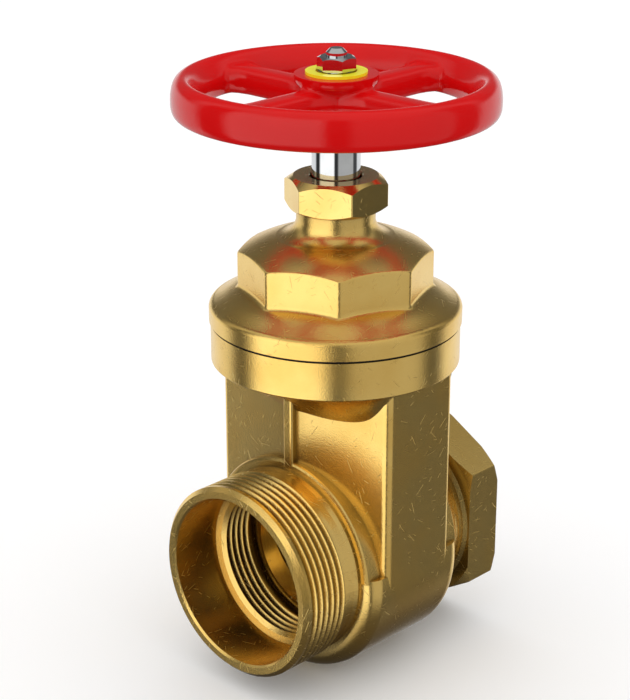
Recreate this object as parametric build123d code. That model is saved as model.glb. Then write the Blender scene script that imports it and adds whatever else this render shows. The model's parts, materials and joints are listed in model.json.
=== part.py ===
from build123d import *
import math
import os

# Gate valve, DN 40 (1 1/2 inch), non-rising stem, drawn fully open. Millimetres.
# X is the flow axis: outlet towards -X, hexagonal inlet towards +X.
# Z is the stem axis, handwheel up. The origin is where the two axes cross.

# Pipe ends
OUTLET_END = 43.7          # outlet face to the stem axis
INLET_END = 45.5           # inlet face to the stem axis
PIPE_PITCH = 2.309         # 11 threads per inch
OUTER_THREAD_R = 29.81     # G2 male, major radius
INLET_THREAD_R = 22.42     # G1 1/2 female, basic minor radius
OUTLET_THREAD_R = 22.70    # the same thread, near the top of its minor radius tolerance
THREAD_DEPTH = 1.45
OUTER_THREAD_START = 27.4
END_CHAMFER = 1.3
SOCKET_R = 25.9            # smooth socket inside the outlet
SOCKET_FLOOR = 26.2
POCKET_END = 13.5          # bottom of the seat pockets
RELIEF_END = 14.8          # groove that the inner thread runs out into
RELIEF_R = 24.3
INLET_THREAD_START = 27.0
HEX_AF = 60.0              # across the four slanted flats
HEX_SIDE_AF = 56.0         # across the two upright flats
HEX_START = 31.8
HEX_FACE_R = 30.8
NECK_R = 26.4              # round neck between the body and the inlet hexagon

# Body
SIDE_Y = 34.2              # flat side faces
FRONT_X = 19.0             # front and rear panels at their middle, under the ribs
CORNER_X = 14.3            # the same panels where they meet the sides
KEEL_Z = -1.8              # centre of the rounded bottom
KEEL_TOP = 3.0             # the keel closes the panels up to this height
KEEL_CORNER_R = 5.0
BODY_CORNER_R = 2.4
COVE_DROP = 13.5           # most that the cove under the ring reaches down a panel
BOSS_R = 32.2
BOSS_X = 20.6
RIB_X = 20.9
RIB_W = 3.6
RING_R = 37.25
RING_BOTTOM = 60.4
JOINT_Z = 72.0

# Wedge chamber and seats
CHAMBER_X = 10.8
CHAMBER_Y = 29.5
PORT_R = 19.0
SEAT_R = 22.0
SEAT_GAP = 0.15
WEDGE_R = 22.4
WEDGE_HALF = 8.0           # half thickness at the wedge's middle
WEDGE_ANGLE = 5.0
LIFT = 42.0                # wedge travel, closed to open
GUIDE_Y = 29.2
LUG_X = 10.3
LUG_Y = 9.5
LUG_STEP = 23.0            # above this height the lug is wider than the wedge
LUG_TOP = 32.0
NUT_BOTTOM = 20.0          # wedge nut, above the wedge's middle
NUT_TOP = 30.0

# Bonnet
GASKET_T = 0.8
GASKET_R = 36.7
SPIGOT_R = 30.0
SPIGOT_INNER_R = 26.0
SPIGOT_BOTTOM = 64.0
FLANGE_R = 37.7
OCTAGON_AF = 54.0
OCTAGON_CORNER_R = 2.6
OCTAGON_TOP_R = 1.0
OCTAGON_FOOT_R = 1.5
BONNET_NECK_R = 11.7
BONNET_NECK_TOP = 106.3
GLAND_THREAD_R = 10.8
GLAND_THREAD_TOP = 114.0
BOX_R = 9.2                # stuffing box bore
BOX_FLOOR = 92.0

# Stem and gland
STEM_R = 7.15
STEM_THREAD_R = 6.0
STEM_PITCH = 3.0
STEM_BOTTOM = 23.5
COLLAR_R = 8.7
COLLAR_BOTTOM = 93.05
COLLAR_TOP = 96.45
WASHER_T = 1.0
PACKING_BOTTOM = 97.5
PACKING_TOP = 106.5
PACKING_RINGS = 4
RUNNING = 0.06             # radial clearance round the turning stem
PACKING_NUT_AF = 27.0
PACKING_NUT_BOTTOM = 106.5
PACKING_NUT_TOP = 116.6
PACKING_NUT_ROOF = 114.2
PACKING_NUT_FACE_R = 12.5

# Handwheel and its fixings
HUB_BOTTOM = 130.0
HUB_TOP = 146.5
HUB_DISC_R = 12.2
HUB_WAIST_R = 8.8
RIM_R = 47.5
RIM_BOTTOM = 135.0
RIM_TOP = 146.3
SPOKE_TOP = 143.3
SPOKE_W = 9.8
SQUARE = 9.0
STUD_R = 3.0
STUD_TOP = 153.8
DISC_R = 8.95
DISC_HOLE_R = 5.95
DISC_T = 0.8
SPRING_T = 0.9
WHEEL_NUT_AF = 10.0
WHEEL_NUT_TOP = 151.5


def turned(points, axis=Axis.Z):
    """Solid of revolution from (radius, height) points; about X the height runs along +X."""
    if axis == Axis.X:
        points = [(h, r) for r, h in points]
        return revolve(Plane.XY * make_face(Polyline(*points, close=True)), Axis.X, 360)
    return revolve(Plane.XZ * make_face(Polyline(*points, close=True)), Axis.Z, 360)


def tube(outer, inner, bottom, top):
    return turned([(inner, bottom), (outer, bottom), (outer, top), (inner, top)])


def rod(radius, bottom, top):
    return turned([(0, bottom), (radius, bottom), (radius, top), (0, top)])


def bar_x(radius, start, end):
    return turned([(0, start), (radius, start), (radius, end), (0, end)], Axis.X)


def block(x0, x1, y0, y1, z0, z1):
    return Pos((x0 + x1) / 2, (y0 + y1) / 2, (z0 + z1) / 2) * Box(x1 - x0, y1 - y0, z1 - z0)


def prism_z(across_flats, sides, bottom, top, turn=0.0):
    """Regular prism on Z with its first corner at the angle turn from +X."""
    corner_r = across_flats / 2 / math.cos(math.pi / sides)
    outline = RegularPolygon(corner_r, sides, major_radius=True, rotation=turn)
    return extrude(Pos(0, 0, bottom) * outline, top - bottom)


def thread_points(crest, root, start, end, pitch):
    """Ridge profile from start to end: whole turns of a V groove with small flats."""
    step = pitch if end > start else -pitch
    turns = int(abs(end - start) / pitch)
    points = []
    for i in range(turns):
        at = start + i * step
        points += [(crest, at), (crest, at + 0.14 * step), (root, at + 0.50 * step),
                   (root, at + 0.64 * step)]
    points.append((crest, start + turns * step))
    return points


def plan():
    """Outline of the body seen from above: each panel leans back 8 degrees from its rib."""
    return Polyline((-FRONT_X, 0), (-CORNER_X, SIDE_Y), (CORNER_X, SIDE_Y), (FRONT_X, 0),
                    (CORNER_X, -SIDE_Y), (-CORNER_X, -SIDE_Y), close=True)


def body_slab():
    slab = extrude(Plane.XY.offset(KEEL_Z) * make_face(plan()), RING_BOTTOM + 2 - KEEL_Z)
    corners = [e for e in slab.edges().filter_by(Axis.Z) if abs(e.center().Y) > 1]
    return fillet(corners, BODY_CORNER_R)


def cove():
    """Hollow sweep from the front panel out to the ring's lower edge, drawn on the +X side."""
    sections = []
    for y in (-34.6, -33.4, -31.5, -28.5, -24, -18, -9, -2, 0, 2, 9, 18, 24, 28.5, 31.5, 33.4, 34.6):
        panel = FRONT_X - (FRONT_X - CORNER_X) * abs(y) / SIDE_Y - 0.35
        edge = math.sqrt((RING_R - 0.35) ** 2 - y ** 2)
        reach = edge - panel
        drop = COVE_DROP * math.tanh(1.25 * reach / COVE_DROP)
        sweep_line = ThreePointArc((panel, RING_BOTTOM - drop),
                                   (panel + 0.36 * reach, RING_BOTTOM - 0.33 * drop),
                                   (edge, RING_BOTTOM + 0.05))
        buried = Polyline((edge, RING_BOTTOM + 0.05), (edge, RING_BOTTOM + 0.4),
                          (panel - 3, RING_BOTTOM + 0.4), (panel - 3, RING_BOTTOM - drop),
                          (panel, RING_BOTTOM - drop))
        plane = Plane(origin=(0, y, 0), x_dir=(1, 0, 0), z_dir=(0, -1, 0))
        sections.append(plane * make_face(sweep_line + buried))
    return loft(sections)


def keel():
    """Half-round bottom with well rounded edges, which closes the panels below the bosses."""
    drum = bar_x(SIDE_Y, -BOSS_X, BOSS_X)
    drum = fillet(drum.edges().filter_by(GeomType.CIRCLE), KEEL_CORNER_R)
    return Pos(0, 0, KEEL_Z) * (drum & block(-30, 30, -40, 40, -40, KEEL_TOP - KEEL_Z))


def body_ring():
    ring = rod(RING_R, RING_BOTTOM, JOINT_Z)
    return fillet(ring.edges().filter_by(GeomType.CIRCLE).sort_by(Axis.Z)[0], 0.5)


def boss():
    """Round boss, with a raised lip round its upper half, drawn towards +X."""
    lip = turned([(0, 0), (BOSS_R, 0), (BOSS_R, BOSS_X - 0.7), (BOSS_R - 0.3, BOSS_X - 0.2),
                  (BOSS_R - 1.0, BOSS_X), (0, BOSS_X)], Axis.X)
    return lip & block(0, 30, -40, 40, KEEL_TOP - 1, 40)


def outlet_end():
    """Boss and male pipe thread, drawn towards +X and turned round to -X."""
    points = [(0, 10), (29.3, 10), (29.3, BOSS_X + 0.6), (28.9, 22.6), (28.6, 24.8),
              (OUTER_THREAD_R - THREAD_DEPTH - 0.1, OUTER_THREAD_START - 0.9)]
    last = OUTLET_END - END_CHAMFER
    points += thread_points(OUTER_THREAD_R, OUTER_THREAD_R - THREAD_DEPTH,
                            OUTER_THREAD_START, last, PIPE_PITCH)
    points += [(OUTER_THREAD_R, last), (OUTER_THREAD_R - END_CHAMFER, OUTLET_END), (0, OUTLET_END)]
    return Rot(0, 0, 180) * (boss() + turned(points, Axis.X))


def inlet_end():
    """Boss, neck and the spanner hexagon, which has two of its flats upright at the sides."""
    neck = turned([(0, 10), (29.3, 10), (29.3, BOSS_X + 0.6), (28.9, 22.6), (28.2, 24.4),
                   (NECK_R + 0.6, 26.5), (NECK_R, 29.0), (NECK_R, HEX_START - 1),
                   (NECK_R + 1, HEX_START), (0, HEX_START)], Axis.X)
    corner_r = HEX_AF / math.sqrt(3)
    outline = RegularPolygon(corner_r, 6, major_radius=True, rotation=90)
    hexagon = extrude(Plane.YZ.offset(HEX_START) * outline, INLET_END - HEX_START)
    hexagon &= block(0, INLET_END, -HEX_SIDE_AF / 2, HEX_SIDE_AF / 2, -corner_r, corner_r)
    hexagon = fillet(hexagon.edges().filter_by(Axis.X), 0.6)
    turning = turned([(0, HEX_START), (HEX_FACE_R, HEX_START), (corner_r, HEX_START + 1.6),
                      (corner_r, INLET_END - 2.6), (HEX_FACE_R, INLET_END), (0, INLET_END)],
                     Axis.X)
    return boss() + neck + (hexagon & turning)


def ribs():
    """Upright stiffening rib on the middle of the front and rear faces."""
    rib = block(-RIB_X, RIB_X, -RIB_W / 2, RIB_W / 2, 28, RING_BOTTOM - 5)
    return fillet(rib.edges().filter_by(Axis.Z), 0.8)


def seat_pocket():
    """Drawn towards +X: the pocket that takes a seat ring, and the relief beyond it."""
    return [(0, 0), (SEAT_R, 0), (SEAT_R, POCKET_END)]


def outlet_bore():
    last = SOCKET_FLOOR - 1.3
    points = seat_pocket() + [(RELIEF_R, POCKET_END), (RELIEF_R, RELIEF_END),
                              (OUTLET_THREAD_R, RELIEF_END + 0.5)]
    points += thread_points(OUTLET_THREAD_R, OUTLET_THREAD_R + THREAD_DEPTH,
                            RELIEF_END + 0.6, last, PIPE_PITCH)
    points += [(OUTLET_THREAD_R, last), (OUTLET_THREAD_R + 1.4, SOCKET_FLOOR - 0.4),
               (SOCKET_R, SOCKET_FLOOR + 0.2), (SOCKET_R, OUTLET_END - 0.6),
               (SOCKET_R + 0.6, OUTLET_END + 0.01), (0, OUTLET_END + 0.01)]
    return Rot(0, 0, 180) * turned(points, Axis.X)


def inlet_bore():
    last = INLET_END - 1.8
    points = seat_pocket() + [(SEAT_R - 1, POCKET_END), (SEAT_R - 1, INLET_THREAD_START - 1)]
    points += thread_points(INLET_THREAD_R, INLET_THREAD_R + THREAD_DEPTH,
                            INLET_THREAD_START, last, PIPE_PITCH)
    points += [(INLET_THREAD_R, last), (INLET_THREAD_R + 1.8, INLET_END + 0.01),
               (0, INLET_END + 0.01)]
    return turned(points, Axis.X)


def chamber():
    """Space that the wedge rises in, opening out under the ring."""
    slot = block(-CHAMBER_X, CHAMBER_X, -CHAMBER_Y, CHAMBER_Y, 0, SPIGOT_BOTTOM)
    wide = block(-CHAMBER_X - 2.4, CHAMBER_X + 2.4, -26.5, 26.5, 27, SPIGOT_BOTTOM)
    mouth = turned([(0, 50.5), (12, 50.5), (17, 54), (24, 58.5), (27.5, 63.6),
                    (SPIGOT_R + 0.05, 63.6), (SPIGOT_R + 0.05, JOINT_Z + 1), (0, JOINT_Z + 1)])
    return slot + wide + bar_x(CHAMBER_Y, -CHAMBER_X, CHAMBER_X) + mouth


def body():
    outside = body_slab() + body_ring() + cove() + Rot(0, 0, 180) * cove()
    outside += keel() + ribs() + outlet_end() + inlet_end()
    return outside - chamber() - outlet_bore() - inlet_bore()


def taper_block(gap=0.0):
    """Wedge-shaped block, thicker towards the top, that sets the seat and wedge faces."""
    reach = 60.0
    lean = math.tan(math.radians(WEDGE_ANGLE))
    low, high = WEDGE_HALF + gap - reach * lean, WEDGE_HALF + gap + reach * lean
    outline = Polyline((-low, -reach), (low, -reach), (high, reach), (-high, reach), close=True)
    return extrude(Plane.XZ * make_face(outline), reach, both=True)


def seat_ring(side):
    ring = bar_x(SEAT_R - 0.02, 4, POCKET_END - 0.02) - bar_x(PORT_R, 3, 20)
    if side < 0:
        ring = Rot(0, 0, 180) * ring
    return ring - taper_block(SEAT_GAP)


def wedge():
    disc = bar_x(WEDGE_R, -15, 15) & taper_block()
    guide = block(-3, 3, -GUIDE_Y, GUIDE_Y, -1.5, 13)
    lug = block(-LUG_X, LUG_X, -LUG_Y, LUG_Y, 12, LUG_TOP)
    lug = fillet(lug.edges().filter_by(Axis.Z), 2.0)
    lug &= taper_block() + block(-20, 20, -20, 20, LUG_STEP, 40)
    whole = disc + guide + lug
    whole -= rod(STEM_THREAD_R + 0.9, STEM_BOTTOM - LIFT - 0.4, 50)
    whole -= block(-8.05, 8.05, -20, 20, NUT_BOTTOM, NUT_TOP + 0.05)
    return Pos(0, 0, LIFT) * whole


def wedge_nut():
    nut = block(-8, 8, -9, 9, NUT_BOTTOM, NUT_TOP)
    nut = chamfer(nut.edges().filter_by(Axis.Z), 1.0)
    return Pos(0, 0, LIFT) * (nut - rod(STEM_THREAD_R + 0.08, 0, 40))


def bonnet():
    # flange, then a skirt that flattens out towards the foot of the octagon
    low = JOINT_Z + GASKET_T
    rounding = ThreePointArc((FLANGE_R, 77.0), (37.2, 78.0), (36.1, 78.7))
    skirt = Spline((36.1, 78.7), (32.4, 80.9), (29.4, 82.4), (25.5, 83.3),
                   tangents=((-1, 0.50), (-1, 0.1)))
    inside = Polyline((25.5, 83.3), (0, 83.3), (0, low), (FLANGE_R, low), (FLANGE_R, 77.0))
    flange = revolve(Plane.XZ * make_face(rounding + skirt + inside), Axis.Z, 360)
    # octagon under a low dome that flares into the neck
    dome = ThreePointArc((30.2, 92.6), (24.0, 96.0), (17.5, 98.4))
    flare = ThreePointArc((17.5, 98.4), (13.4, 100.2), (BONNET_NECK_R, 103.2))
    middle = Polyline((BONNET_NECK_R, 103.2), (0, 103.2), (0, 79), (30.2, 79), (30.2, 92.6))
    head = revolve(Plane.XZ * make_face(dome + flare + middle), Axis.Z, 360)
    octagon = prism_z(OCTAGON_AF, 8, 79, 110)
    octagon = fillet(octagon.edges().filter_by(Axis.Z), OCTAGON_CORNER_R)
    head &= octagon
    head = fillet([e for e in head.edges() if e.center().Z > 90 and e.center().Z < 96], OCTAGON_TOP_R)
    outside = flange + head
    outside = fillet([e for e in outside.edges() if 81 < e.center().Z < 84], OCTAGON_FOOT_R)
    outside += rod(BONNET_NECK_R, 100, BONNET_NECK_TOP) + rod(GLAND_THREAD_R, 100, GLAND_THREAD_TOP)
    outside += rod(SPIGOT_R, SPIGOT_BOTTOM, JOINT_Z + 1)
    hollow = turned([(0, SPIGOT_BOTTOM - 1), (SPIGOT_INNER_R, SPIGOT_BOTTOM - 1),
                     (SPIGOT_INNER_R, 76), (22, 81), (13, 87.5), (0, 87.5)])
    bore = rod(STEM_THREAD_R + 0.4, 80, 95) + rod(BOX_R, BOX_FLOOR, 120)
    return outside - hollow - bore


def bonnet_gasket():
    return tube(GASKET_R, SPIGOT_R + 0.1, JOINT_Z, JOINT_Z + GASKET_T)


def stem():
    points = [(0, STEM_BOTTOM), (STEM_THREAD_R - 1.4, STEM_BOTTOM)]
    points += thread_points(STEM_THREAD_R, STEM_THREAD_R - 1.3, STEM_BOTTOM + 1.4, 91.0, STEM_PITCH)
    points += [(STEM_THREAD_R, COLLAR_BOTTOM), (COLLAR_R, COLLAR_BOTTOM), (COLLAR_R, COLLAR_TOP),
               (STEM_R, COLLAR_TOP), (STEM_R, HUB_BOTTOM), (0, HUB_BOTTOM)]
    square = block(-SQUARE / 2, SQUARE / 2, -SQUARE / 2, SQUARE / 2, HUB_BOTTOM - 1, HUB_TOP - 1.5)
    square = chamfer(square.edges().filter_by(Axis.Z), 0.6)
    stud = [(0, HUB_BOTTOM), (STUD_R, HUB_BOTTOM)]
    stud += thread_points(STUD_R, STUD_R - 0.5, HUB_TOP - 1, STUD_TOP - 1.4, 1.0)
    stud += [(STUD_R, STUD_TOP - 1.2), (STUD_R - 1.2, STUD_TOP), (0, STUD_TOP)]
    return turned(points) + square + turned(stud)


def packing_nut():
    blank = prism_z(PACKING_NUT_AF, 6, PACKING_NUT_BOTTOM, PACKING_NUT_TOP)
    blank = fillet(blank.edges().filter_by(Axis.Z), 0.5)
    corner_r = PACKING_NUT_AF / math.sqrt(3) + 0.1
    turning = turned([(0, PACKING_NUT_BOTTOM), (12.6, PACKING_NUT_BOTTOM),
                      (corner_r, PACKING_NUT_BOTTOM + 1.8), (corner_r, PACKING_NUT_TOP - 2.2),
                      (PACKING_NUT_FACE_R, PACKING_NUT_TOP), (0, PACKING_NUT_TOP)])
    bore = rod(GLAND_THREAD_R + 0.05, PACKING_NUT_BOTTOM - 1, PACKING_NUT_ROOF)
    stem_hole = turned([(0, 110), (STEM_R + 0.55, 110), (STEM_R + 0.55, PACKING_NUT_TOP - 0.3),
                        (STEM_R + 0.85, PACKING_NUT_TOP + 0.01), (0, PACKING_NUT_TOP + 0.01)])
    return (blank & turning) - bore - stem_hole


def packing_ring(index):
    height = (PACKING_TOP - PACKING_BOTTOM) / PACKING_RINGS
    bottom = PACKING_BOTTOM + index * height
    return tube(BOX_R - 0.05, STEM_R + RUNNING, bottom, bottom + height)


def rim():
    """Handwheel rim: upright outside, rounded crest near the outside, sloping inner wall."""
    wall = Spline((39.2, 136.2), (38.6, 139.2), (39.6, 142.2), (41.6, 145.2), (44.4, RIM_TOP),
                  (46.7, 144.4), (RIM_R, 140.6), (47.3, 137.2), tangents=((-0.3, 1), (-0.15, -1)))
    foot = Polyline((47.3, 137.2), (46.2, RIM_BOTTOM), (40.0, RIM_BOTTOM), (39.2, 136.2))
    return revolve(Plane.XZ * make_face(wall + foot), Axis.Z, 360)


def hub():
    waist = Spline((11.6, 144.4), (9.2, 142.0), (HUB_WAIST_R, 137.5), (10.6, 131.4),
                   tangents=((-1, -0.3), (0.35, -1)))
    rest = Polyline((10.6, 131.4), (9.6, HUB_BOTTOM), (0, HUB_BOTTOM), (0, HUB_TOP),
                    (HUB_DISC_R - 0.9, HUB_TOP), (HUB_DISC_R, HUB_TOP - 0.9), (11.6, 144.4))
    return revolve(Plane.XZ * make_face(waist + rest), Axis.Z, 360)


def spoke(angle):
    """Deep spoke with rounded edges, from inside the hub to inside the rim."""
    middle = (SPOKE_TOP + RIM_BOTTOM + 0.3) / 2
    outline = Pos(0, middle) * RectangleRounded(SPOKE_W, 2 * (SPOKE_TOP - middle), 3.2)
    return Rot(0, 0, angle) * extrude(Plane.YZ.offset(5.0) * outline, 37.0)


def handwheel():
    wheel = rim() + hub()
    for quarter in range(4):
        wheel += spoke(90 * quarter)
    hole = block(-SQUARE / 2 - 0.05, SQUARE / 2 + 0.05, -SQUARE / 2 - 0.05, SQUARE / 2 + 0.05,
                 HUB_BOTTOM - 1, HUB_TOP + 1)
    return wheel - hole


def wheel_nut():
    bottom = HUB_TOP + SPRING_T
    blank = prism_z(WHEEL_NUT_AF, 6, bottom, WHEEL_NUT_TOP)
    corner_r = WHEEL_NUT_AF / math.sqrt(3) + 0.05
    turning = turned([(0, bottom), (corner_r - 0.6, bottom), (corner_r, bottom + 0.35),
                      (corner_r, WHEEL_NUT_TOP - 0.75), (corner_r - 1.3, WHEEL_NUT_TOP),
                      (0, WHEEL_NUT_TOP)])
    return (blank & turning) - rod(STUD_R + 0.05, 140, 160)


def spring_washer():
    """Split washer under the wheel nut."""
    ring = tube(5.3, STUD_R + 0.15, HUB_TOP, HUB_TOP + SPRING_T)
    return ring - Rot(0, 0, 200) * block(0, 8, -0.45, 0.45, HUB_TOP - 1, HUB_TOP + 2)


def write(name, solid):
    export_step(solid, f"parts/{name}.step")


os.makedirs("parts", exist_ok=True)
write("body", body())
write("inlet_seat_ring", seat_ring(1))
write("outlet_seat_ring", seat_ring(-1))
write("wedge", wedge())
write("wedge_nut", wedge_nut())
write("bonnet", bonnet())
write("bonnet_gasket", bonnet_gasket())
write("stem", stem())
write("lower_thrust_washer", tube(9.0, STEM_THREAD_R + 0.45, BOX_FLOOR, BOX_FLOOR + WASHER_T))
write("upper_thrust_washer", tube(9.1, STEM_R + RUNNING, COLLAR_TOP + 0.05, PACKING_BOTTOM))
for i in range(PACKING_RINGS):
    write(f"packing_ring_{i + 1}", packing_ring(i))
write("gland_follower", tube(9.1, STEM_R + RUNNING, PACKING_TOP, PACKING_NUT_ROOF))
write("packing_nut", packing_nut())
write("handwheel", handwheel())
write("identification_disc", tube(DISC_R, DISC_HOLE_R, HUB_TOP, HUB_TOP + DISC_T))
write("spring_washer", spring_washer())
write("wheel_nut", wheel_nut())
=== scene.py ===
import json
import math
import bmesh
import bpy
from mathutils import Matrix, Vector


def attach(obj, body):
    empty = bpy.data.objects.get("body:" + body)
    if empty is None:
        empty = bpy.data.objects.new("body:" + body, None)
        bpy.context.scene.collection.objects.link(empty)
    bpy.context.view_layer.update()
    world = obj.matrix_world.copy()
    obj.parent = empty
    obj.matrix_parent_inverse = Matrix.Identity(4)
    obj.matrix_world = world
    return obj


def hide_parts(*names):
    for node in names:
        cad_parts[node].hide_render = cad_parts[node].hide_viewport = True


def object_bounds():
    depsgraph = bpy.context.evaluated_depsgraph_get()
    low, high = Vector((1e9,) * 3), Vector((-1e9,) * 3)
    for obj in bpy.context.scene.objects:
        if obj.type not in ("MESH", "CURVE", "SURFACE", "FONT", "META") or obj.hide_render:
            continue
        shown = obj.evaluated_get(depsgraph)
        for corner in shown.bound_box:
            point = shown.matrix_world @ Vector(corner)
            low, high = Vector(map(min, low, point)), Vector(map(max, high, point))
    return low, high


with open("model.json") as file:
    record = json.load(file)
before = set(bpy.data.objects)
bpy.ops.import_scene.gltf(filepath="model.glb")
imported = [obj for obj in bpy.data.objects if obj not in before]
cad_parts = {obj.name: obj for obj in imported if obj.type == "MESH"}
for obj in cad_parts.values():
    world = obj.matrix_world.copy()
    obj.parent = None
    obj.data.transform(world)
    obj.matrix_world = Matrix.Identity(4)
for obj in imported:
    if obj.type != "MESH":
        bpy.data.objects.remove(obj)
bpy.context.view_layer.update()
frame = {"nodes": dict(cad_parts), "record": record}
nodes = frame["nodes"]
mm = 0.001
print("frame loaded:", len(nodes), "nodes")


def hexColor(code, alpha=1.0):
    parts = [int(code[i:i + 2], 16) / 255 for i in (1, 3, 5)]
    linear = [c / 12.92 if c <= 0.04045 else ((c + 0.055) / 1.055) ** 2.4 for c in parts]
    return (*linear, alpha)


def addNode(tree, kind, links=None, stops=None, **settings):
    # links: socket name or number -> another node's output socket, or a plain value
    node = tree.nodes.new(kind)
    for name, value in settings.items():
        setattr(node, name, value)
    if stops:
        node.color_ramp.elements.remove(node.color_ramp.elements[-1])
        node.color_ramp.elements[0].position, node.color_ramp.elements[0].color = stops[0]
        for place, color in stops[1:]:
            node.color_ramp.elements.new(place).color = color
    for key, value in (links or {}).items():
        if isinstance(value, bpy.types.NodeSocket):
            tree.links.new(value, node.inputs[key])
        else:
            node.inputs[key].default_value = value
    return node


def newMaterial(name, **sockets):
    mat = bpy.data.materials.new(name)
    mat.use_nodes = True
    shader = mat.node_tree.nodes["Principled BSDF"]
    for key, value in sockets.items():
        shader.inputs[key.replace("_", " ")].default_value = value
    return mat, mat.node_tree, shader


def scratchMask(tree, coords, cellMm, lengthMm, widthMm, share):
    # one short straight hair in some cells of a grid: a thin sheet that stands on the surface
    cells = addNode(tree, "ShaderNodeTexVoronoi", {"Vector": coords, "Scale": 1 / (cellMm * mm)})
    offset = addNode(tree, "ShaderNodeVectorMath", {0: coords, 1: cells.outputs["Position"]},
                     operation="SUBTRACT")
    lean = addNode(tree, "ShaderNodeVectorMath", {0: cells.outputs["Color"], 1: (0.5, 0.5, 0.5)},
                   operation="SUBTRACT")
    facing = addNode(tree, "ShaderNodeNewGeometry").outputs["Normal"]
    along = addNode(tree, "ShaderNodeVectorMath", {0: facing, 1: lean.outputs[0]},
                    operation="CROSS_PRODUCT")
    sheet = addNode(tree, "ShaderNodeVectorMath", {0: along.outputs[0]}, operation="NORMALIZE")
    across = addNode(tree, "ShaderNodeVectorMath", {0: offset.outputs[0], 1: sheet.outputs[0]},
                     operation="DOT_PRODUCT")
    distance = addNode(tree, "ShaderNodeMath", {0: across.outputs["Value"]}, operation="ABSOLUTE")
    reach = addNode(tree, "ShaderNodeVectorMath", {0: offset.outputs[0]}, operation="LENGTH")
    thin = addNode(tree, "ShaderNodeMapRange",
                   {"Value": distance.outputs[0], "From Max": widthMm * mm, "To Min": 1.0, "To Max": 0.0})
    short = addNode(tree, "ShaderNodeMapRange",
                    {"Value": reach.outputs["Value"], "From Min": lengthMm * mm * 0.35,
                     "From Max": lengthMm * mm * 0.5, "To Min": 1.0, "To Max": 0.0})
    hair = addNode(tree, "ShaderNodeMath", {0: thin.outputs[0], 1: short.outputs[0]}, operation="MULTIPLY")
    pick = addNode(tree, "ShaderNodeSeparateXYZ", {"Vector": cells.outputs["Color"]})
    chosen = addNode(tree, "ShaderNodeMath", {0: pick.outputs["X"], 1: share}, operation="LESS_THAN")
    return addNode(tree, "ShaderNodeMath", {0: hair.outputs[0], 1: chosen.outputs[0]},
                   operation="MULTIPLY").outputs[0]


# a blasted grain is finer than this: it is drawn as coarse as it needs to be to show
# the third colour of each finish is painted shade, put into recesses by an occlusion test
forged = dict(pale="#F7D27C", deep="#F0C76E", recessShadeColor="#A08A58", roughness=0.25, scuff=0.26, grainMm=0.45,
              grainDepthMm=0.060)
turned = dict(pale="#F8D682", deep="#F2CB74", recessShadeColor="#A08A58", roughness=0.18, scuff=0.18, grainMm=0.30,
              grainDepthMm=0.010)
handling = dict(toneMm=16, wornMm=15, recessMm=30, cutDepthMm=0.035)
longHairs = dict(cellMm=4.4, lengthMm=4.4, widthMm=0.075, share=0.36)
shortHairs = dict(cellMm=2.2, lengthMm=1.9, widthMm=0.065, share=0.30)


def brass(name, look):
    # warm yellow brass with an even fine grain, broad faint tone drift, painted shade in recesses and
    # handling scratches
    mat, tree, shader = newMaterial(name, Metallic=1.0)
    coords = addNode(tree, "ShaderNodeTexCoord").outputs["Object"]
    patches = addNode(tree, "ShaderNodeTexNoise",
                      {"Vector": coords, "Scale": 1 / (handling["toneMm"] * mm), "Detail": 4.0})
    tone = addNode(tree, "ShaderNodeValToRGB", {"Fac": patches.outputs["Fac"]},
                   stops=[(0.35, hexColor(look["deep"])), (0.60, hexColor(look["pale"]))])
    # recesses are painted a darker, browner tone than the open outside: painted shade set by an occlusion
    # test
    exposed = addNode(tree, "ShaderNodeAmbientOcclusion", {"Distance": handling["recessMm"] * mm},
                      samples=8)
    shadedRecess = addNode(tree, "ShaderNodeMapRange",
                       {"Value": exposed.outputs["AO"], "From Min": 0.80, "From Max": 0.30})
    skin = addNode(tree, "ShaderNodeMix", {0: shadedRecess.outputs[0], 6: tone.outputs["Color"],
                                           7: hexColor(look["recessShadeColor"])}, data_type="RGBA")
    tree.links.new(skin.outputs[2], shader.inputs["Base Color"])
    # scratches come in two lengths and only where the part has been handled
    hairs = addNode(tree, "ShaderNodeMath", {0: scratchMask(tree, coords, **longHairs),
                                             1: scratchMask(tree, coords, **shortHairs)},
                    operation="MAXIMUM")
    where = addNode(tree, "ShaderNodeTexNoise",
                    {"Vector": coords, "Scale": 1 / (handling["wornMm"] * mm), "Detail": 1.0})
    some = addNode(tree, "ShaderNodeMapRange", {"Value": where.outputs["Fac"], "From Min": 0.38,
                                                "From Max": 0.52})
    worn = addNode(tree, "ShaderNodeMath", {0: hairs.outputs[0], 1: some.outputs[0]},
                   operation="MULTIPLY")
    rough = addNode(tree, "ShaderNodeMapRange",
                    {"Value": patches.outputs["Fac"], "From Min": 0.3, "From Max": 0.7,
                     "To Min": look["roughness"] + 0.02, "To Max": look["roughness"] - 0.02})
    scuffed = addNode(tree, "ShaderNodeMath", {0: worn.outputs[0], 1: look["scuff"], 2: rough.outputs[0]},
                      operation="MULTIPLY_ADD")
    tree.links.new(scuffed.outputs[0], shader.inputs["Roughness"])
    grain = addNode(tree, "ShaderNodeTexNoise",
                    {"Vector": coords, "Scale": 1 / (look["grainMm"] * mm), "Detail": 2.0,
                     "Roughness": 0.55})
    blasted = addNode(tree, "ShaderNodeBump", {"Height": grain.outputs["Fac"], "Strength": 0.6,
                                               "Distance": look["grainDepthMm"] * mm})
    cut = addNode(tree, "ShaderNodeBump", {"Height": worn.outputs[0], "Strength": 0.8,
                                           "Distance": handling["cutDepthMm"] * mm,
                                           "Normal": blasted.outputs[0]}, invert=True)
    tree.links.new(cut.outputs[0], shader.inputs["Normal"])
    return mat


def forgedBrass():
    # forged and blasted: a satin skin with a fine grain
    return brass("forgedBrass", forged)


def machinedBrass():
    # turned and left bright: smoother, with clearer reflections
    return brass("machinedBrass", turned)


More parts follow.
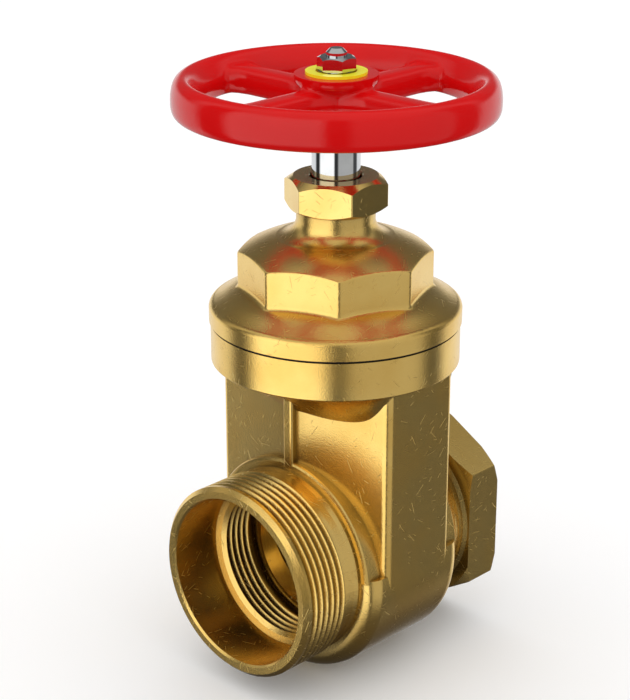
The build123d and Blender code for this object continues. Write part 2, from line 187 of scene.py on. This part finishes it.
def plain(name, pale, deep, patchMm, roughness, **sockets):
    # one finish with a slight drift between two close tones
    mat, tree, shader = newMaterial(name, **sockets)
    coords = addNode(tree, "ShaderNodeTexCoord").outputs["Object"]
    drift = addNode(tree, "ShaderNodeTexNoise",
                    {"Vector": coords, "Scale": 1 / (patchMm * mm), "Detail": 3.0})
    tone = addNode(tree, "ShaderNodeValToRGB", {"Fac": drift.outputs["Fac"]},
                   stops=[(0.3, hexColor(deep)), (0.7, hexColor(pale))])
    tree.links.new(tone.outputs["Color"], shader.inputs["Base Color"])
    rough = addNode(tree, "ShaderNodeMapRange", {"Value": drift.outputs["Fac"], "From Min": 0.3,
                                                 "From Max": 0.7, "To Min": roughness * 1.15,
                                                 "To Max": roughness * 0.85})
    tree.links.new(rough.outputs[0], shader.inputs["Roughness"])
    return mat, tree, shader, coords


def chromePlate():
    # bright nickel and chrome over steel: a cool mirror
    return plain("chromePlate", "#DDE0E3", "#D2D5D8", 5, 0.06, Metallic=1.0)[0]


def redEnamel():
    # glossy stoved enamel over a casting, with slight orange peel
    mat, tree, shader, coords = plain("redEnamel", "#DA0A0C", "#D2080A", 20, 0.13, IOR=1.45,
                                      Specular_IOR_Level=0.42)
    peel = addNode(tree, "ShaderNodeTexNoise", {"Vector": coords, "Scale": 1 / (1.8 * mm), "Detail": 1.0})
    skin = addNode(tree, "ShaderNodeBump", {"Height": peel.outputs["Fac"], "Strength": 0.2,
                                            "Distance": 0.06 * mm})
    tree.links.new(skin.outputs[0], shader.inputs["Normal"])
    return mat


def yellowLacquer():
    # lacquered sheet: clear flat yellow with a slight sheen
    return plain("yellowLacquer", "#FCF41C", "#F4E80E", 3, 0.35, IOR=1.5)[0]


def pressedFibre():
    # pressed fibre packing: dark brown and dull
    return plain("pressedFibre", "#2A2118", "#140E08", 0.5, 0.85)[0]


def mouldedPtfe():
    # moulded plastic: milky white with a waxy sheen
    return plain("mouldedPtfe", "#F2F1EC", "#E6E4DE", 2, 0.5, IOR=1.35)[0]


finishes = {
    "forged_brass": forgedBrass(), "machined_brass": machinedBrass(), "chrome_plate": chromePlate(),
    "red_enamel": redEnamel(), "yellow_paint": yellowLacquer(), "gasket": pressedFibre(),
    "ptfe": mouldedPtfe(),
}
for part in frame["record"]["subparts"]:
    nodes[part["node"]].data.materials.clear()
    nodes[part["node"]].data.materials.append(finishes[part["material_slot"]])
print("materials:", len(finishes))


def addMesh(name, mesh):
    data = bpy.data.meshes.new(name)
    mesh.to_mesh(data)
    mesh.free()
    obj = bpy.data.objects.new(name, data)
    bpy.context.scene.collection.objects.link(obj)
    return obj


def lathe(mesh, points, steps):
    # closed turned surface from a loop of (radius, height) points in mm
    rings = []
    for i in range(steps):
        turn = 2 * math.pi * i / steps
        rings.append([mesh.verts.new((r * mm * math.cos(turn), r * mm * math.sin(turn), z * mm))
                      for r, z in points])
    for i in range(steps):
        here, there = rings[i], rings[(i + 1) % steps]
        for j in range(len(points)):
            k = (j + 1) % len(points)
            mesh.faces.new((here[j], there[j], there[k], here[k]))


wheel = dict(rimOuter=47.5, rimTop=146.4, rimBottom=135.0, hubTop=146.5, hubBottom=130.0, spokes=4,
             spokeHalf=4.9, spokeTop=143.2, squareHalf=4.55, rimRounding=2.2, spokeRounding=2.6,
             voxelMm=0.5, smoothing=14, sharpDegrees=40)


def roundedLoop(corners, radius, steps=5):
    # corners of a convex outline, each replaced by an arc of about the given radius
    loop = []
    for i, corner in enumerate(corners):
        here = Vector(corner)
        before, after = Vector(corners[i - 1]) - here, Vector(corners[(i + 1) % len(corners)]) - here
        reach = min(radius, before.length / 2.05, after.length / 2.05)
        start, end = here + before.normalized() * reach, here + after.normalized() * reach
        for k in range(steps + 1):
            t = k / steps
            loop.append(start.lerp(here, t).lerp(here.lerp(end, t), t))
    return loop


def makeHandwheel():
    # cast wheel: rim, hub and four deep spokes melted into one skin, then the hub's face and hole cut
    mesh = bmesh.new()
    rim = [(39.3, wheel["rimBottom"]), (46.6, wheel["rimBottom"]), (wheel["rimOuter"], 137.0),
           (wheel["rimOuter"], 141.4), (46.5, 144.9), (44.0, wheel["rimTop"]), (42.0, 145.4),
           (39.3, 141.8), (38.4, 139.4), (38.5, 136.0)]
    lathe(mesh, [tuple(p) for p in roundedLoop(rim, wheel["rimRounding"])], 180)
    hub = [(0.01, wheel["hubBottom"]), (10.4, wheel["hubBottom"]), (9.4, 134.0), (8.9, 138.0),
           (9.6, 142.2), (12.2, 144.2), (12.3, 147.4), (0.01, 147.4)]
    lathe(mesh, hub, 96)
    half, top, low = wheel["spokeHalf"], wheel["spokeTop"], wheel["rimBottom"] + 0.4
    section = roundedLoop([(-half - 0.3, low), (half + 0.3, low), (half, 140.6), (half * 0.62, top),
                           (-half * 0.62, top), (-half, 140.6)], wheel["spokeRounding"])
    for number in range(wheel["spokes"]):
        turn = Matrix.Rotation(2 * math.pi * number / wheel["spokes"], 3, "Z")
        rings = []
        # distance from the axis, and how much the spoke has widened there
        for along, spread in ((4.0, 1.5), (9.0, 1.35), (11.5, 1.12), (15.0, 1.0), (32.0, 1.0),
                              (35.5, 1.14), (38.0, 1.45), (41.5, 1.7)):
            rings.append([mesh.verts.new(turn @ Vector((along, p.x * spread, p.y)) * mm) for p in section])
        for here, there in zip(rings, rings[1:]):
            for j in range(len(section)):
                k = (j + 1) % len(section)
                mesh.faces.new((here[j], here[k], there[k], there[j]))
        mesh.faces.new(rings[0][::-1])
        mesh.faces.new(rings[-1])
    bmesh.ops.recalc_face_normals(mesh, faces=mesh.faces)
    casting = addMesh("handwheelCasting", mesh)
    remesh = casting.modifiers.new("skin", "REMESH")
    remesh.mode, remesh.voxel_size = "VOXEL", wheel["voxelMm"] * mm
    smooth = casting.modifiers.new("smooth", "SMOOTH")
    smooth.factor, smooth.iterations = 0.5, wheel["smoothing"]
    cutter = bmesh.new()
    side = 2 * wheel["squareHalf"]
    # the square hole, and the block that faces the hub
    for size, height in (((side, side, 40), 140), ((30, 30, 10), wheel["hubTop"] + 5)):
        made = bmesh.ops.create_cube(cutter, size=1.0)
        bmesh.ops.scale(cutter, vec=Vector(size) * mm, verts=made["verts"])
        bmesh.ops.translate(cutter, vec=(0, 0, height * mm), verts=made["verts"])
    tool = addMesh("wheelCutter", cutter)
    cut = casting.modifiers.new("machining", "BOOLEAN")
    cut.operation, cut.solver, cut.use_self, cut.object = "DIFFERENCE", "EXACT", True, tool
    finished = casting.evaluated_get(bpy.context.evaluated_depsgraph_get())
    casting.data = bpy.data.meshes.new_from_object(finished)
    casting.modifiers.clear()
    bpy.data.objects.remove(tool)
    casting.data.shade_smooth()
    casting.data.set_sharp_from_angle(angle=math.radians(wheel["sharpDegrees"]))
    casting.data.materials.append(finishes["red_enamel"])
    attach(casting, "stem")
    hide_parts("handwheel")
    return casting


casting = makeHandwheel()
print("handwheel:", len(casting.data.polygons), "faces")


studio = dict(azimuth=-46.5, elevation=20.86, distanceMm=570.7, aimUpMm=62.1, sideMm=-6.1,
              lens=97.714, floorM=6.0, floorColor="#FFFFFF", fill=1.08, underFill=0.75)
cloths = dict(white=(0.92, 0.92, 0.92, 1), dark=(0.04, 0.04, 0.04, 1), dim=(0.08, 0.08, 0.08, 1),
              box=(1.44, 1.42, 1.38, 1), panel=(0.53, 0.52, 0.50, 1), roof=(0.62, 0.61, 0.58, 1),
              shade=(0.12, 0.12, 0.12, 1), table=(0.10, 0.09, 0.08, 1))


def viewAxes(azimuth):
    turn = math.radians(azimuth)
    return Vector((math.sin(turn), -math.cos(turn), 0)), Vector((math.cos(turn), math.sin(turn), 0))


def addCamera():
    towards, right = viewAxes(studio["azimuth"])
    tilt = math.radians(studio["elevation"])
    back = towards * math.cos(tilt) + Vector((0, 0, math.sin(tilt)))
    aim = Vector((0, 0, studio["aimUpMm"] * mm)) + right * studio["sideMm"] * mm
    camera = bpy.data.objects.new("camera", bpy.data.cameras.new("camera"))
    camera.location = aim + back * studio["distanceMm"] * mm
    camera.rotation_euler = (-back).to_track_quat("-Z", "Y").to_euler()
    camera.data.lens = studio["lens"]
    bpy.context.scene.collection.objects.link(camera)
    bpy.context.scene.camera = camera


def addFloor():
    # a pale sweep at the lowest point; it takes shadows but throws no light or reflection on the part
    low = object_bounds()[0][2]
    bpy.ops.mesh.primitive_plane_add(size=studio["floorM"], location=(0, 0, low - 0.05 * mm))
    floor = bpy.context.object
    floor.name = "floor"
    paper = newMaterial("palePaper", Roughness=0.9, Base_Color=hexColor(studio["floorColor"]))[0]
    floor.data.materials.append(paper)
    floor.visible_glossy = False
    floor.visible_diffuse = False


# where each cloth starts and ends round the part, in degrees from the camera, positive to its right
bands = [(-180, "white"), (-114, "white"), (-104, "dark"), (-86, "dark"), (-77, "box"), (-12, "box"),
         (-6, "dark"), (6, "dark"), (13, "panel"), (84, "panel"), (90, "dim"), (109, "dim"),
         (118, "white"), (180, "white")]


def addTent():
    # light tent: white cloth with a large softbox, a grey panel and three dark gaps, by compass angle
    world = bpy.data.worlds.new("tent")
    bpy.context.scene.world = world
    world.use_nodes = True
    tree = world.node_tree
    tree.nodes.clear()
    towards, right = viewAxes(studio["azimuth"])
    ray = addNode(tree, "ShaderNodeTexCoord").outputs["Generated"]
    along = addNode(tree, "ShaderNodeVectorMath", {0: ray, 1: towards}, operation="DOT_PRODUCT")
    aside = addNode(tree, "ShaderNodeVectorMath", {0: ray, 1: right}, operation="DOT_PRODUCT")
    angle = addNode(tree, "ShaderNodeMath", {0: aside.outputs["Value"], 1: along.outputs["Value"]},
                    operation="ARCTAN2")
    place = addNode(tree, "ShaderNodeMapRange",
                    {"Value": angle.outputs[0], "From Min": -math.pi, "From Max": math.pi})
    band = addNode(tree, "ShaderNodeValToRGB", {"Fac": place.outputs[0]},
                   stops=[((degrees + 180) / 360, cloths[name]) for degrees, name in bands])
    height = addNode(tree, "ShaderNodeSeparateXYZ", {"Vector": ray}).outputs["Z"]
    above = addNode(tree, "ShaderNodeMapRange", {"Value": height, "From Min": 0.55, "From Max": 0.80})
    covered = addNode(tree, "ShaderNodeMix", {0: above.outputs[0], 6: band.outputs["Color"],
                                              7: cloths["roof"]}, data_type="RGBA")
    # the far side is open above the table, so it is nearly dark
    behind = addNode(tree, "ShaderNodeMapRange",
                     {"Value": along.outputs["Value"], "From Min": -0.25, "From Max": -0.55})
    raised = addNode(tree, "ShaderNodeMapRange", {"Value": height, "From Min": 0.05, "From Max": 0.20})
    shade = addNode(tree, "ShaderNodeMath", {0: behind.outputs[0], 1: raised.outputs[0]},
                    operation="MULTIPLY")
    back = addNode(tree, "ShaderNodeMix", {0: shade.outputs[0], 6: covered.outputs[2],
                                           7: cloths["shade"]}, data_type="RGBA")
    below = addNode(tree, "ShaderNodeMapRange", {"Value": height, "From Min": -0.50, "From Max": -0.72})
    tent = addNode(tree, "ShaderNodeMix", {0: below.outputs[0], 6: back.outputs[2],
                                           7: cloths["table"]}, data_type="RGBA")
    # the bands only shape the reflections; matt surfaces see even white cloth, dimmer from below
    lit = addNode(tree, "ShaderNodeMapRange", {"Value": height, "From Min": -0.1, "From Max": 0.1,
                                               "To Min": studio["underFill"], "To Max": studio["fill"]})
    mirrored = addNode(tree, "ShaderNodeLightPath").outputs["Is Glossy Ray"]
    seen = addNode(tree, "ShaderNodeMix", {0: mirrored, 6: lit.outputs[0], 7: tent.outputs[2]},
                   data_type="RGBA")
    background = addNode(tree, "ShaderNodeBackground", {"Color": seen.outputs[2], "Strength": 1.0})
    addNode(tree, "ShaderNodeOutputWorld", {"Surface": background.outputs[0]})


addCamera()
addFloor()
addTent()
bpy.context.scene.view_settings.view_transform = "Standard"
print("studio ready")
